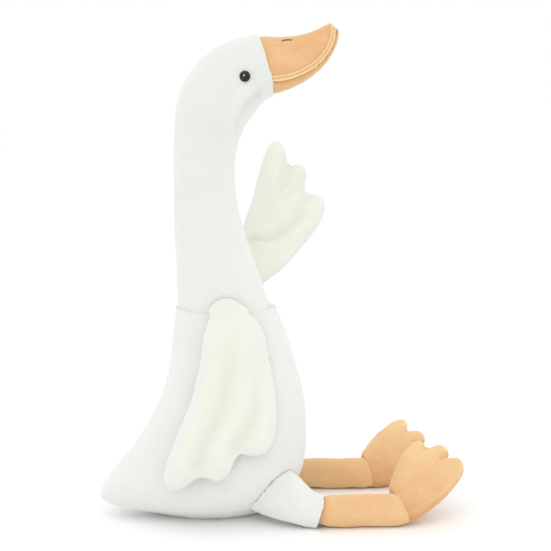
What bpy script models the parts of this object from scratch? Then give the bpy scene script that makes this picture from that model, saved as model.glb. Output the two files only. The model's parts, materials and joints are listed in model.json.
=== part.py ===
"""A stuffed goose that sits upright, with its legs stretched out and its left wing raised.

Everything is in metres. +X is the way the goose faces, +Y is its left and +Z is up. The origin
is on the floor, under the middle of the body. The body, the neck with the head, the wings, the
thighs, the legs, the feet and the two halves of the bill are stuffed skins, each a solid of its
own, and they meet at sewn seams. The eyes are domed buttons with a shank and a locking washer.
"""

import math

import bmesh
import bpy
from mathutils import Euler, Vector
from mathutils.bvhtree import BVHTree

# Clearance at every seam between two pieces
SEAM_GAP = 0.0003

# Body
BODY_HEIGHT = 0.213
TAIL_REACH = 0.122
CHEST_REACH = 0.092
BELLY_WIDTH = 0.150
COLLAR_STEP = 0.003
COLLAR_TUCK = 0.06
TAIL_PINCH = 0.75
PINCH_START = 0.60
PINCH_SPAN = 0.50

# Neck and head
NECK_BASE_RADIUS = 0.0475
NECK_BASE_FORWARD = 0.010
NECK_RADIUS = 0.0297
NECK_LENGTH = 0.137
NECK_TOP_FORWARD = -0.0118
NECK_TUCK = 0.10
HEAD_LENGTH = 0.062
HEAD_RISE = 0.099
HEAD_HEIGHT = 0.078
HEAD_WIDTH = 0.072

# Bill
BILL_TOP_LENGTH = 0.074
BILL_TOP_RISE = 0.0145
BILL_TOP_DIP = 0.0025
MOUTH_LENGTH = 0.0907
MOUTH_START = math.radians(4)
MOUTH_CURL = math.radians(82)
MOUTH_EASE = 1.33
MOUTH_DROP = 0.0142
BILL_WIDTH = 0.052
BILL_SLANT = math.radians(14)
UPPER_BILL_DEPTH = 0.0452
LOWER_BILL_DEPTH = 0.0140

# Eyes
EYE_DIAMETER = 0.0106
EYE_BULGE = 0.0042
EYE_FORWARD = 0.0380
EYE_RISE = 0.0901
SKIN_THICKNESS = 0.0030
SHANK_DIAMETER = 0.0040
SHANK_LENGTH = 0.0090
WASHER_DIAMETER = 0.0120
WASHER_THICKNESS = 0.0015

# Wings
WING_LENGTH = 0.182
WING_WIDTH = 0.106
WING_THICKNESS = 0.020
WING_EDGE = 0.005
WING_ROLL = 0.0050
WING_ROOT_HEIGHT = 0.234
WING_ROOT_FORWARD = 0.000
WING_REST = 0.35
WING_CUP = 3.0
RAISED_ROOT_HEIGHT = 0.225
RAISED_ROOT_FORWARD = 0.0045
RAISED_BEND = 0.29
RAISED_SPREAD = 0.90
RAISED_REACH = 1.05
ROOT_INSET = 0.80

# Ways down the length and across the width of the raised wing, at its shoulder
RAISED_ALONG = (0.619, 0.673, 0.405)
RAISED_ACROSS = (0.784, -0.496, -0.374)

# Thighs, legs and feet
THIGH_RADIUS = 0.027
HEM_RADIUS = 0.0163
THIGH_LENGTH = 0.055
HEM_SLANT = math.radians(15)
LEG_RADIUS = 0.0160
LEG_REST = 0.97
LEG_LENGTH = 0.082
FOOT_LENGTH = 0.082
FOOT_WIDTH = 0.057
FOOT_THICKNESS = 0.028
FOOT_EDGE = 0.006
FOOT_ROLL = 0.0036
HEEL_SWELL = 0.35

# How each leg lies: its place beside the midline, its hem ahead of the chest, and its turns
LEG_POSES = {
    "right": {
        "across": -0.057,
        "hem_ahead": 0.004,
        "leg_turn": math.radians(-5),
        "foot_turn": math.radians(36),
        "foot_rise": math.radians(37),
        "foot_roll": math.radians(16),
    },
    "left": {
        "across": 0.068,
        "hem_ahead": -0.004,
        "leg_turn": math.radians(-8),
        "foot_turn": math.radians(26),
        "foot_rise": math.radians(21),
        "foot_roll": math.radians(38),
    },
}

# Crown of a flat stuffed form: its height inside the rolled edge, the size of its high part, and
# how little that part follows the fullness of the edge, all as shares
ROLL_SHARE = 0.75
CROWN_REACH = 0.55
CROWN_EVEN = 0.60

# Smoothness of the stuffed forms
BODY_SEGMENTS = 8
LIMB_SEGMENTS = 8
BILL_SEGMENTS = 10
EYE_SEGMENTS = 12
MOUTH_STEPS = 40
MOUTH_CUTTER_POINTS = 28
FINE = 2
COARSE = 1

# Sides of the cubes that end the pieces at their flat seams
COLLAR_BLOCK = 0.60
FACE_BLOCK = 0.30
MOUTH_BLOCK = 0.12
HEM_BLOCK = 0.12
ANKLE_BLOCK = 0.16
FLOOR_BLOCK = 1.00

# Profile of the body: height, then how far back and ahead, then the half width, as shares of
# the body's height, the tail's reach, the chest's reach and half of the belly's width
BODY_PROFILE = (
    (0.900, 0.345, 0.740, 0.71),
    (0.720, 0.385, 0.905, 0.88),
    (0.540, 0.455, 0.990, 0.98),
    (0.360, 0.665, 1.010, 1.02),
    (0.200, 0.905, 0.965, 0.97),
    (0.115, 1.010, 0.850, 0.76),
    (0.050, 0.930, 0.740, 0.54),
    (0.008, 0.430, 0.560, 0.32),
    (-0.050, 0.330, 0.350, 0.16),
)

# Neck from its seam to its top: share of the length, and share of the taper still to come
NECK_PROFILE = ((0.00, 1.00), (0.30, 0.56), (0.64, 0.17), (1.00, 0.00))

# Head from the top of the neck: forward and up, as shares of the head's length and rise, then
# the nod of the section, and its half height and half width as shares of the head's own
HEAD_PROFILE = (
    (0.07, 0.36, 0.00, 0.83, 0.88),
    (0.19, 0.637, 0.35, 1.00, 1.00),
    (0.43, 0.860, 0.72, 0.99, 1.04),
    (0.75, 0.98, 1.02, 0.88, 0.92),
    (1.03, 1.02, 1.26, 0.80, 0.76),
    (1.22, 1.06, 1.33, 0.78, 0.68),
)

# Upper bill, share of the way from the face to the tip, and half width as a share of the width
UPPER_BILL_PROFILE = (
    (-0.12, 0.51),
    (0.10, 0.50),
    (0.32, 0.49),
    (0.54, 0.48),
    (0.74, 0.45),
    (0.90, 0.38),
    (0.99, 0.24),
)

# Lower bill, share of the way from the face to the tip, then the thickness as a share of its
# depth at the face and the half width as a share of the bill's width
LOWER_BILL_PROFILE = (
    (-0.12, 1.01, 0.48),
    (0.10, 0.93, 0.48),
    (0.32, 0.72, 0.49),
    (0.54, 0.58, 0.48),
    (0.74, 0.50, 0.46),
    (0.90, 0.44, 0.39),
    (1.01, 0.36, 0.26),
)

# Outline of a wing: share of the length below the shoulder, share of the width ahead of it, and
# how full the wing is inside that point, as a share: it is drawn in between the feather ends
WING_OUTLINE = (
    (0.000, 0.00, 0.9),
    (0.015, 0.20, 0.9),
    (0.080, 0.33, 0.9),
    (0.220, 0.40, 0.9),
    (0.360, 0.45, 0.9),
    (0.520, 0.49, 1.0),
    (0.690, 0.50, 1.0),
    (0.810, 0.45, 1.1),
    (0.850, 0.33, 1.0),
    (0.835, 0.20, 0.5),
    (0.815, 0.12, 0.1),
    (0.890, 0.08, 0.6),
    (0.965, 0.00, 1.1),
    (0.970, -0.11, 0.7),
    (0.925, -0.21, 0.1),
    (0.985, -0.30, 0.6),
    (1.040, -0.45, 1.1),
    (1.020, -0.55, 1.1),
    (0.920, -0.55, 1.0),
    (0.790, -0.47, 1.0),
    (0.640, -0.37, 1.0),
    (0.500, -0.27, 1.0),
    (0.340, -0.20, 1.0),
    (0.180, -0.16, 0.9),
    (0.060, -0.15, 0.9),
)

# Thigh from its hem to its root in the body: share of the length behind the hem, how far it
# swells from the hem's radius to the thigh's, then its lift and its slide toward the midline as
# shares of the thigh's radius and length
THIGH_PROFILE = (
    (-0.12, 0.00, 0.00, 0.00),
    (0.02, 0.00, 0.00, 0.00),
    (0.20, 0.40, 0.10, 0.02),
    (0.46, 1.15, 0.60, 0.08),
    (0.95, 0.70, 0.50, 0.30),
    (1.40, -0.26, 0.50, 0.50),
)

# Leg from inside its hem to inside its foot: share of the length, and share of the radius
LEG_PROFILE = ((-0.10, 0.98), (0.30, 1.00), (0.75, 1.02), (1.20, 1.05))

# Half outline of a foot, from the ankle to the middle toe: shares of its length and width, and
# of its fullness, which is drawn in between the toes
FOOT_OUTLINE = (
    (-0.12, 0.24, 1.0),
    (0.08, 0.37, 1.0),
    (0.32, 0.50, 1.0),
    (0.58, 0.57, 1.0),
    (0.80, 0.57, 1.0),
    (0.93, 0.49, 1.1),
    (0.95, 0.36, 1.0),
    (0.87, 0.22, 0.3),
    (0.97, 0.15, 0.9),
    (1.02, 0.00, 1.1),
)

COLOURS = {
    "white_plush": (0.86, 0.86, 0.83, 0.9),
    "cream_plush": (0.86, 0.85, 0.78, 0.9),
    "tan_velvet": (0.83, 0.52, 0.26, 0.8),
    "black_gloss": (0.01, 0.01, 0.01, 0.12),
    "washer_plastic": (0.75, 0.75, 0.72, 0.45),
}


def clear_scene():
    """Removes whatever the file opened with."""
    for item in list(bpy.data.objects):
        bpy.data.objects.remove(item, do_unlink=True)


def collection(name):
    """A new collection in the scene."""
    made = bpy.data.collections.new(name)
    bpy.context.scene.collection.children.link(made)
    return made


def material(name):
    """A plain material with the colour and roughness listed for it."""
    found = bpy.data.materials.get(name)
    if found:
        return found
    red, green, blue, rough = COLOURS[name]
    made = bpy.data.materials.new(name)
    made.use_nodes = True
    shader = made.node_tree.nodes["Principled BSDF"]
    shader.inputs["Base Color"].default_value = (red, green, blue, 1.0)
    shader.inputs["Roughness"].default_value = rough
    shader.inputs["Metallic"].default_value = 0.0
    made.diffuse_color = (red, green, blue, 1.0)
    return made


def finish_mesh(name, shape, finish, home, levels=0):
    """Turns a bmesh into an object, faces out, with a Subdivision Surface where one is asked."""
    bmesh.ops.recalc_face_normals(shape, faces=shape.faces)
    if shape.calc_volume(signed=True) < 0.0:
        bmesh.ops.reverse_faces(shape, faces=shape.faces)
    mesh = bpy.data.meshes.new(name)
    shape.to_mesh(mesh)
    shape.free()
    mesh.shade_smooth()
    made = bpy.data.objects.new(name, mesh)
    home.objects.link(made)
    if finish:
        mesh.materials.append(material(finish))
    if levels:
        smooth = made.modifiers.new("stuffing", "SUBSURF")
        smooth.levels = levels
        smooth.render_levels = levels
    return made


def ring(centre, along, across, segments, pinch=0.0):
    """Points round an oval. Its smoothed form passes through the half sizes given by the vectors."""
    swell = 6.0 / (4.0 + 2.0 * math.cos(2.0 * math.pi / segments))
    points = []
    for step in range(segments):
        angle = 2.0 * math.pi * step / segments
        ahead = math.cos(angle)
        narrow = 1.0 - pinch * max(0.0, -ahead)
        points.append(centre + swell * (ahead * along + math.sin(angle) * narrow * across))
    return points


def tube(name, rings, finish, home, levels):
    """A closed stuffed tube through rings of points, with a flat cap at both ends."""
    shape = bmesh.new()
    loops = []
    for points in rings:
        verts = bmesh.ops.create_circle(shape, segments=len(points), radius=1.0)["verts"]
        for vert, point in zip(verts, points):
            vert.co = point
        loops.append(list({edge for vert in verts for edge in vert.link_edges}))
    for near, far in zip(loops, loops[1:]):
        bmesh.ops.bridge_loops(shape, edges=near + far)
    bmesh.ops.contextual_create(shape, geom=loops[0])
    bmesh.ops.contextual_create(shape, geom=loops[-1])
    return finish_mesh(name, shape, finish, home, levels)


def cushion(name, outline, thickness, edge, roll, place, finish, home):
    """A flat stuffed form: an outline with a thin sewn edge and two crowned faces.

    Each point of the outline is (down, ahead, fullness). roll is the width of the band that
    rounds the edge off. place turns a point (down, ahead, out) of the flat form into a point of
    the goose.
    """
    shape = bmesh.new()
    rim = bmesh.ops.create_circle(shape, segments=len(outline), radius=1.0, cap_ends=True)["verts"]
    for vert, (down, ahead, _) in zip(rim, outline):
        vert.co = Vector((down, ahead, -edge / 2))
    back = shape.faces[:]
    front = bmesh.ops.extrude_face_region(shape, geom=back, use_keep_orig=True)["geom"]
    front_verts = [item for item in front if isinstance(item, bmesh.types.BMVert)]
    bmesh.ops.translate(shape, vec=(0, 0, edge), verts=front_verts)
    bmesh.ops.recalc_face_normals(shape, faces=shape.faces)

    def fullness(vert):
        spot = Vector(vert.co.xy)
        return min(outline, key=lambda row: (Vector(row[:2]) - spot).length)[2]

    crown = (thickness - edge) / 2
    caps = [face for face in shape.faces if abs(face.normal.z) > 0.5]
    bmesh.ops.inset_region(shape, faces=caps, thickness=roll)
    for cap in caps:
        middle = cap.calc_center_median()
        out = cap.normal.copy()
        shares = [fullness(vert) for vert in cap.verts]
        for vert, share in zip(cap.verts, shares):
            vert.co += out * crown * ROLL_SHARE * share
        bmesh.ops.inset_individual(shape, faces=[cap], thickness=0.0)
        for vert, share in zip(cap.verts, shares):
            inner = middle + (vert.co - middle) * CROWN_REACH
            level = crown * (CROWN_EVEN + (1.0 - CROWN_EVEN) * share)
            vert.co = Vector((inner.x, inner.y, middle.z)) + out * level
    for vert in shape.verts:
        vert.co = place(*vert.co)
    return finish_mesh(name, shape, finish, home, COARSE)


def turned(name, profile, finish, home, segments=EYE_SEGMENTS):
    """A shape turned round +Z from a profile of (radius, height) points that starts and ends on
    the axis, or closes on itself."""
    shape = bmesh.new()
    verts = [shape.verts.new((radius, 0.0, height)) for radius, height in profile]
    edges = [shape.edges.new(pair) for pair in zip(verts, verts[1:])]
    if profile[0][0] > 0.0:
        edges.append(shape.edges.new((verts[-1], verts[0])))
    bmesh.ops.spin(
        shape,
        geom=verts + edges,
        axis=(0, 0, 1),
        cent=(0, 0, 0),
        angle=2.0 * math.pi,
        steps=segments,
        use_merge=True,
    )
    bmesh.ops.remove_doubles(shape, verts=shape.verts, dist=0.000001)
    made = finish_mesh(name, shape, finish, home)
    made.data.set_sharp_from_angle(angle=math.radians(35))
    return made


def as_cutter(item):
    """Hides a cutter from the finished goose."""
    item.hide_render = True
    item.display_type = "WIRE"
    return item


def cut(item, cutter, solver="EXACT"):
    """Takes the cutter's space away from a piece."""
    step = item.modifiers.new("cut_by_" + cutter.name, "BOOLEAN")
    step.operation = "DIFFERENCE"
    step.solver = solver
    step.object = cutter


def block(name, face_centre, direction, size, cutters):
    """A cube whose one face is centred on a point, and which fills the space in a direction."""
    bpy.ops.mesh.primitive_cube_add(size=size)
    made = bpy.context.active_object
    made.name = name
    for owner in list(made.users_collection):
        owner.objects.unlink(made)
    cutters.objects.link(made)
    direction = Vector(direction).normalized()
    made.rotation_euler = direction.to_track_quat("Z", "Y").to_euler()
    made.location = Vector(face_centre) + direction * size / 2
    return as_cutter(made)


def sew(behind, ahead, name, point, direction, size, cutters):
    """Ends two pieces face to face at a flat seam, half a gap to each side of a point."""
    direction = Vector(direction).normalized()
    half_gap = direction * SEAM_GAP / 2
    cut(behind, block(name + "_ahead", Vector(point) - half_gap, direction, size, cutters))
    cut(ahead, block(name + "_behind", Vector(point) + half_gap, -direction, size, cutters))


def seat_of(item, cutters):
    """A cutter with the form of a piece, grown by the seam gap, for what rests against it."""
    made = bpy.data.objects.new(item.name + "_seat", item.data)
    cutters.objects.link(made)
    for source in item.modifiers:
        step = made.modifiers.new(source.name, source.type)
        if source.type == "SUBSURF":
            step.levels = source.levels
            step.render_levels = source.render_levels
        else:
            step.operation = source.operation
            step.solver = source.solver
            step.object = source.object
    grown = made.modifiers.new("gap", "DISPLACE")
    grown.mid_level = 0.0
    grown.strength = SEAM_GAP
    return as_cutter(made)


def body_half_width(height):
    """Half the body's width at a height, read off its profile."""
    rows = [(share * BODY_HEIGHT, width * BELLY_WIDTH / 2) for share, _, _, width in BODY_PROFILE]
    for (high, wide), (low, narrow) in zip(rows, rows[1:]):
        if height >= low:
            blend = min(1.0, (height - low) / (high - low))
            return narrow + (wide - narrow) * blend
    return rows[-1][1]


def make_body(home):
    """The body: widest low down, drawn out behind into a pinched tail."""
    collar = NECK_BASE_RADIUS + COLLAR_STEP
    middle = Vector((NECK_BASE_FORWARD, 0.0, BODY_HEIGHT * (1.0 + COLLAR_TUCK)))
    rings = [ring(middle, Vector((collar, 0, 0)), Vector((0, collar, 0)), BODY_SEGMENTS)]
    for share, back, ahead, wide in BODY_PROFILE:
        rear = -back * TAIL_REACH
        front = ahead * CHEST_REACH
        pinch = TAIL_PINCH * min(1.0, max(0.0, (PINCH_START - share) / PINCH_SPAN))
        rings.append(
            ring(
                Vector(((rear + front) / 2, 0.0, share * BODY_HEIGHT)),
                Vector(((front - rear) / 2, 0.0, 0.0)),
                Vector((0.0, wide * BELLY_WIDTH / 2, 0.0)),
                BODY_SEGMENTS,
                pinch,
            )
        )
    return tube("body", rings, "white_plush", home, FINE)


def neck_top():
    """Where the neck ends and the head begins."""
    return Vector((NECK_TOP_FORWARD, 0.0, BODY_HEIGHT + NECK_LENGTH))


def head_frame(forward, rise, nod):
    """Centre of a section of the head, the way from its crown side to its throat side, and the
    way ahead out of it."""
    centre = neck_top() + Vector((forward * HEAD_LENGTH, 0.0, rise * HEAD_RISE))
    down = Vector((math.cos(nod), 0.0, -math.sin(nod)))
    ahead = Vector((math.sin(nod), 0.0, math.cos(nod)))
    return centre, down, ahead


def make_neck_and_head(home):
    """The neck and the head: one skin, bent forward at the top."""
    rings = []
    base = Vector((NECK_BASE_FORWARD, 0.0, BODY_HEIGHT))
    swell = NECK_BASE_RADIUS - NECK_RADIUS
    below = base - Vector((0.0, 0.0, NECK_TUCK * NECK_LENGTH))
    rings.append(
        ring(
            below,
            Vector((NECK_BASE_RADIUS, 0, 0)),
            Vector((0, NECK_BASE_RADIUS, 0)),
            BODY_SEGMENTS,
        )
    )
    for share, taper in NECK_PROFILE:
        radius = NECK_RADIUS + taper * swell
        lean = NECK_TOP_FORWARD + taper * (NECK_BASE_FORWARD - NECK_TOP_FORWARD)
        centre = Vector((lean, 0.0, BODY_HEIGHT + share * NECK_LENGTH))
        rings.append(ring(centre, Vector((radius, 0, 0)), Vector((0, radius, 0)), BODY_SEGMENTS))
    for forward, rise, nod, high, wide in HEAD_PROFILE:
        centre, down, _ = head_frame(forward, rise, nod)
        rings.append(
            ring(
                centre,
                down * high * HEAD_HEIGHT / 2,
                Vector((0.0, wide * HEAD_WIDTH / 2, 0.0)),
                BODY_SEGMENTS,
            )
        )
    return tube("neck_and_head", rings, "white_plush", home, FINE)


def face_seam():
    """Centre of the flat seam between the face and the bill, and the way out of it."""
    return neck_top() + Vector((HEAD_LENGTH, 0.0, HEAD_RISE)), Vector(
        (math.cos(BILL_SLANT), 0.0, math.sin(BILL_SLANT))
    )


def bill_root(up):
    """A point on the slanted face seam, at a height above the seam's middle."""
    seam, out = face_seam()
    return seam + Vector((-out.z, 0.0, out.x)) * up


def bill_top(share):
    """A point on the top edge of the bill: nearly level, then turned up to the tip."""
    ahead = share * BILL_TOP_LENGTH
    rise = BILL_TOP_RISE * max(0.0, share) ** 3
    dip = BILL_TOP_DIP * math.sin(math.pi * share)
    return bill_root(UPPER_BILL_DEPTH - MOUTH_DROP) + Vector((ahead, 0.0, rise - dip))


def mouth(share):
    """A point on the mouth line and the way ahead along it: it curls up more and more."""
    point = bill_root(-MOUTH_DROP)
    stride = share * MOUTH_LENGTH / MOUTH_STEPS
    for step in range(MOUTH_STEPS):
        along = max(0.0, share * (step + 0.5) / MOUTH_STEPS)
        slope = MOUTH_START + MOUTH_CURL * along**MOUTH_EASE
        ahead = Vector((math.cos(slope), 0.0, math.sin(slope)))
        point += ahead * stride
    return point, ahead


def mouth_cutter(name, side, cutters):
    """All that lies above the mouth, where the side is 1, or below it, where the side is -1."""
    first, last = -0.25, 1.20
    line = []
    for step in range(MOUTH_CUTTER_POINTS):
        point, ahead = mouth(first + (last - first) * step / (MOUTH_CUTTER_POINTS - 1))
        line.append(point + Vector((ahead.z, 0.0, -ahead.x)) * side * SEAM_GAP / 2)
    start, end = line[0], line[-1]
    if side > 0:
        line.append(Vector((start.x, 0.0, end.z)))
    else:
        line.append(Vector((start.x + MOUTH_BLOCK, 0.0, end.z)))
        line.append(Vector((start.x + MOUTH_BLOCK, 0.0, start.z - MOUTH_BLOCK / 2)))
        line.append(Vector((start.x, 0.0, start.z - MOUTH_BLOCK / 2)))
    shape = bmesh.new()
    verts = bmesh.ops.create_circle(shape, segments=len(line), radius=1.0, cap_ends=True)["verts"]
    for vert, point in zip(verts, line):
        vert.co = point - Vector((0.0, MOUTH_BLOCK / 2, 0.0))
    sheet = bmesh.ops.extrude_face_region(shape, geom=shape.faces[:], use_keep_orig=True)["geom"]
    far = [item for item in sheet if isinstance(item, bmesh.types.BMVert)]
    bmesh.ops.translate(shape, vec=(0.0, MOUTH_BLOCK, 0.0), verts=far)
    return as_cutter(finish_mesh(name, shape, None, cutters))


def make_bill(home, cutters):
    """The bill: a domed upper half and a thin lower half, which meet along the mouth."""
    lower_rings = []
    for share, thick, wide in LOWER_BILL_PROFILE:
        point, ahead = mouth(share)
        down = Vector((ahead.z, 0.0, -ahead.x)) * thick * LOWER_BILL_DEPTH
        across = Vector((0.0, wide * BILL_WIDTH, 0.0))
        lower_rings.append(ring(point, -down, across, BILL_SEGMENTS))
    lower = tube("bill_lower", lower_rings, "tan_velvet", home, COARSE)
    cut(lower, mouth_cutter("above_mouth", 1.0, cutters))

    upper_rings = []
    for share, wide in UPPER_BILL_PROFILE:
        bottom, _ = mouth(share)
        across = Vector((0.0, wide * BILL_WIDTH, 0.0))
        upper_rings.append(ring(bottom, bill_top(share) - bottom, across, BILL_SEGMENTS))
    upper = tube("bill_upper", upper_rings, "tan_velvet", home, COARSE)
    cut(upper, mouth_cutter("below_mouth", -1.0, cutters))
    return upper, lower


def surface_point(item, start, direction):
    """Where a line first meets a piece."""
    graph = bpy.context.evaluated_depsgraph_get()
    tree = BVHTree.FromObject(item, graph)
    point, normal, _, _ = tree.ray_cast(Vector(start), Vector(direction))
    return point, normal


def make_eyes(head, home, cutters):
    """Two button eyes: a dome that sits flat on the skin, a shank through it and a washer inside."""
    eye_radius = EYE_DIAMETER / 2
    shank = SHANK_DIAMETER / 2
    washer = WASHER_DIAMETER / 2
    washer_top = -SKIN_THICKNESS - SEAM_GAP
    washer_bottom = washer_top - WASHER_THICKNESS
    pocket_bottom = min(washer_bottom, -SHANK_LENGTH) - SEAM_GAP
    arc = [math.radians(90 * step / 4) for step in range(5)]
    dome = [(eye_radius * math.sin(turn), EYE_BULGE * math.cos(turn)) for turn in arc]
    dome[0] = (0.0, EYE_BULGE)
    button = dome + [(shank, 0.0), (shank, -SHANK_LENGTH), (0.0, -SHANK_LENGTH)]
    lock = [
        (shank + SEAM_GAP, washer_top),
        (washer, washer_top),
        (washer, washer_bottom),
        (shank + SEAM_GAP, washer_bottom),
    ]
    hole = [
        (0.0, 3 * EYE_BULGE),
        (eye_radius + SEAM_GAP, 3 * EYE_BULGE),
        (eye_radius + SEAM_GAP, -SEAM_GAP),
        (shank + SEAM_GAP, -SEAM_GAP),
        (shank + SEAM_GAP, -SKIN_THICKNESS),
        (washer + SEAM_GAP, -SKIN_THICKNESS),
        (washer + SEAM_GAP, washer_bottom - SEAM_GAP),
        (shank + SEAM_GAP, washer_bottom - SEAM_GAP),
        (shank + SEAM_GAP, pocket_bottom),
        (0.0, pocket_bottom),
    ]
    aim = neck_top() + Vector((EYE_FORWARD, -HEAD_WIDTH, EYE_RISE))
    point, normal = surface_point(head, aim, (0.0, 1.0, 0.0))
    for side, mirror in (("right", 1.0), ("left", -1.0)):
        seat = Vector((point.x, point.y * mirror, point.z))
        way = Vector((normal.x, normal.y * mirror, normal.z))
        turn = way.to_track_quat("Z", "Y").to_euler()
        for made in (
            turned("eye_" + side, button, "black_gloss", home),
            turned("eye_washer_" + side, lock, "washer_plastic", home),
            as_cutter(turned("eye_hole_" + side, hole, None, cutters)),
        ):
            made.location = seat
            made.rotation_euler = turn
        cut(head, made)


def wing_outline():
    """The wing's outline at its real size."""
    return [
        (down * WING_LENGTH, ahead * WING_WIDTH, fullness)
        for down, ahead, fullness in WING_OUTLINE
    ]


def hanging(down, ahead, out):
    """Where a point of the right wing lies: it hangs against the side of the body."""
    height = WING_ROOT_HEIGHT - down
    side = body_half_width(height) + WING_THICKNESS * WING_REST
    side -= WING_CUP * ahead * ahead
    return Vector((WING_ROOT_FORWARD + ahead, -side - out, height))


def raised(down, ahead, out):
    """Where a point of the left wing lies: it is held up, outward and forward, and bends up."""
    side = body_half_width(RAISED_ROOT_HEIGHT) * ROOT_INSET
    root = Vector((RAISED_ROOT_FORWARD, side, RAISED_ROOT_HEIGHT))
    along = Vector(RAISED_ALONG).normalized()
    across = Vector(RAISED_ACROSS)
    across = (across - across.dot(along) * along).normalized()
    outward = across.cross(along)
    turn = down * RAISED_REACH / RAISED_BEND
    reach = (RAISED_BEND - out) * math.sin(turn)
    lift = RAISED_BEND - (RAISED_BEND - out) * math.cos(turn)
    return root + along * reach + across * ahead * RAISED_SPREAD + outward * lift


def make_wings(home):
    """The two wings: flat stuffed forms with three rounded feather ends."""
    outline = wing_outline()
    made = []
    for name, place in (("wing_right", hanging), ("wing_left", raised)):
        made.append(
            cushion(
                name,
                outline,
                WING_THICKNESS,
                WING_EDGE,
                WING_ROLL,
                place,
                "cream_plush",
                home,
            )
        )
    return made


def make_leg(side, home, cutters, floor):
    """A white thigh, a tan leg that lies on the floor and a webbed foot that tips up."""
    pose = LEG_POSES[side]
    turn = pose["leg_turn"]
    ahead = Vector((math.cos(turn), math.sin(turn), 0.0))
    aside = Vector((-math.sin(turn), math.cos(turn), 0.0))
    upward = Vector((0.0, 0.0, 1.0))
    hem = Vector((CHEST_REACH + pose["hem_ahead"], pose["across"], LEG_RADIUS * LEG_REST))
    ankle = hem + ahead * LEG_LENGTH

    inward = math.copysign(1.0, -pose["across"])
    thigh_rings = []
    for back, swell, lift, slide in THIGH_PROFILE:
        radius = HEM_RADIUS + swell * (THIGH_RADIUS - HEM_RADIUS)
        centre = hem - ahead * back * THIGH_LENGTH
        centre += upward * lift * THIGH_RADIUS
        centre += Vector((0.0, inward * slide * THIGH_LENGTH, 0.0))
        thigh_rings.append(ring(centre, upward * radius, aside * radius, LIMB_SEGMENTS))
    thigh = tube("thigh_" + side, thigh_rings, "white_plush", home, COARSE)

    leg_rings = []
    for share, swell in LEG_PROFILE:
        centre = hem + ahead * share * LEG_LENGTH
        radius = swell * LEG_RADIUS
        leg_rings.append(ring(centre, upward * radius, aside * radius, LIMB_SEGMENTS))
    leg = tube("leg_" + side, leg_rings, "tan_velvet", home, COARSE)

    roll = Euler((pose["foot_roll"], 0.0, 0.0)).to_matrix()
    foot_turn = Euler((0.0, -pose["foot_rise"], pose["foot_turn"])).to_matrix() @ roll
    half = [
        (down * FOOT_LENGTH, across * FOOT_WIDTH, fullness)
        for down, across, fullness in FOOT_OUTLINE
    ]
    outline = half + [(down, -across, fullness) for down, across, fullness in half[-2::-1]]

    def tipped(down, across, out):
        heel = 1.0 + HEEL_SWELL * (1.0 - min(1.0, max(0.0, down / FOOT_LENGTH)))
        return ankle + foot_turn @ Vector((down, across, out * heel))

    foot = cushion(
        "foot_" + side,
        outline,
        FOOT_THICKNESS,
        FOOT_EDGE,
        FOOT_ROLL,
        tipped,
        "tan_velvet",
        home,
    )

    foot_way = foot_turn @ Vector((1.0, 0.0, 0.0))
    hem_way = ahead * math.cos(HEM_SLANT) - upward * math.sin(HEM_SLANT)
    sew(thigh, leg, "hem_seam_" + side, hem, hem_way, HEM_BLOCK, cutters)
    sew(leg, foot, "ankle_seam_" + side, ankle, ahead + foot_way, ANKLE_BLOCK, cutters)
    for made in (thigh, leg, foot):
        cut(made, floor)
    return thigh


def build():
    """Makes every piece of the goose and seats it on its neighbours."""
    clear_scene()
    goose = collection("plush_goose")
    cutters = collection("cutters")
    floor = block("floor", (0.0, 0.0, 0.0), (0.0, 0.0, -1.0), FLOOR_BLOCK, cutters)

    body = make_body(goose)
    head = make_neck_and_head(goose)
    upper, lower = make_bill(goose, cutters)
    make_eyes(head, goose, cutters)
    collar = Vector((NECK_BASE_FORWARD, 0.0, BODY_HEIGHT))
    sew(body, head, "collar_seam", collar, (0.0, 0.0, 1.0), COLLAR_BLOCK, cutters)
    cut(body, floor)

    seam, out = face_seam()
    half_gap = out * SEAM_GAP / 2
    cut(head, block("face_seam_ahead", seam - half_gap, out, FACE_BLOCK, cutters))
    behind = block("face_seam_behind", seam + half_gap, -out, FACE_BLOCK, cutters)
    cut(upper, behind)
    cut(lower, behind)

    body_seat = seat_of(body, cutters)
    neck_seat = seat_of(head, cutters)
    for wing in make_wings(goose):
        cut(wing, neck_seat, "MANIFOLD")
        cut(wing, body_seat, "MANIFOLD")
    for side in LEG_POSES:
        cut(make_leg(side, goose, cutters, floor), body_seat)


build()
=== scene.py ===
"""A stuffed goose that sits upright with one wing raised.

Each stuffed piece is a skin of its own, made from the solid that it stands for: an even net,
swollen by its filling where it is soft, then creased, seamed and given its pile. +X is the way the
goose faces, +Y is its left side and +Z is up. Lengths are in metres.
"""

import json
import math

import bmesh
import bpy
import numpy as np
from mathutils import Matrix, Vector, noise
from mathutils.bvhtree import BVHTree
from mathutils.kdtree import KDTree

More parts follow.
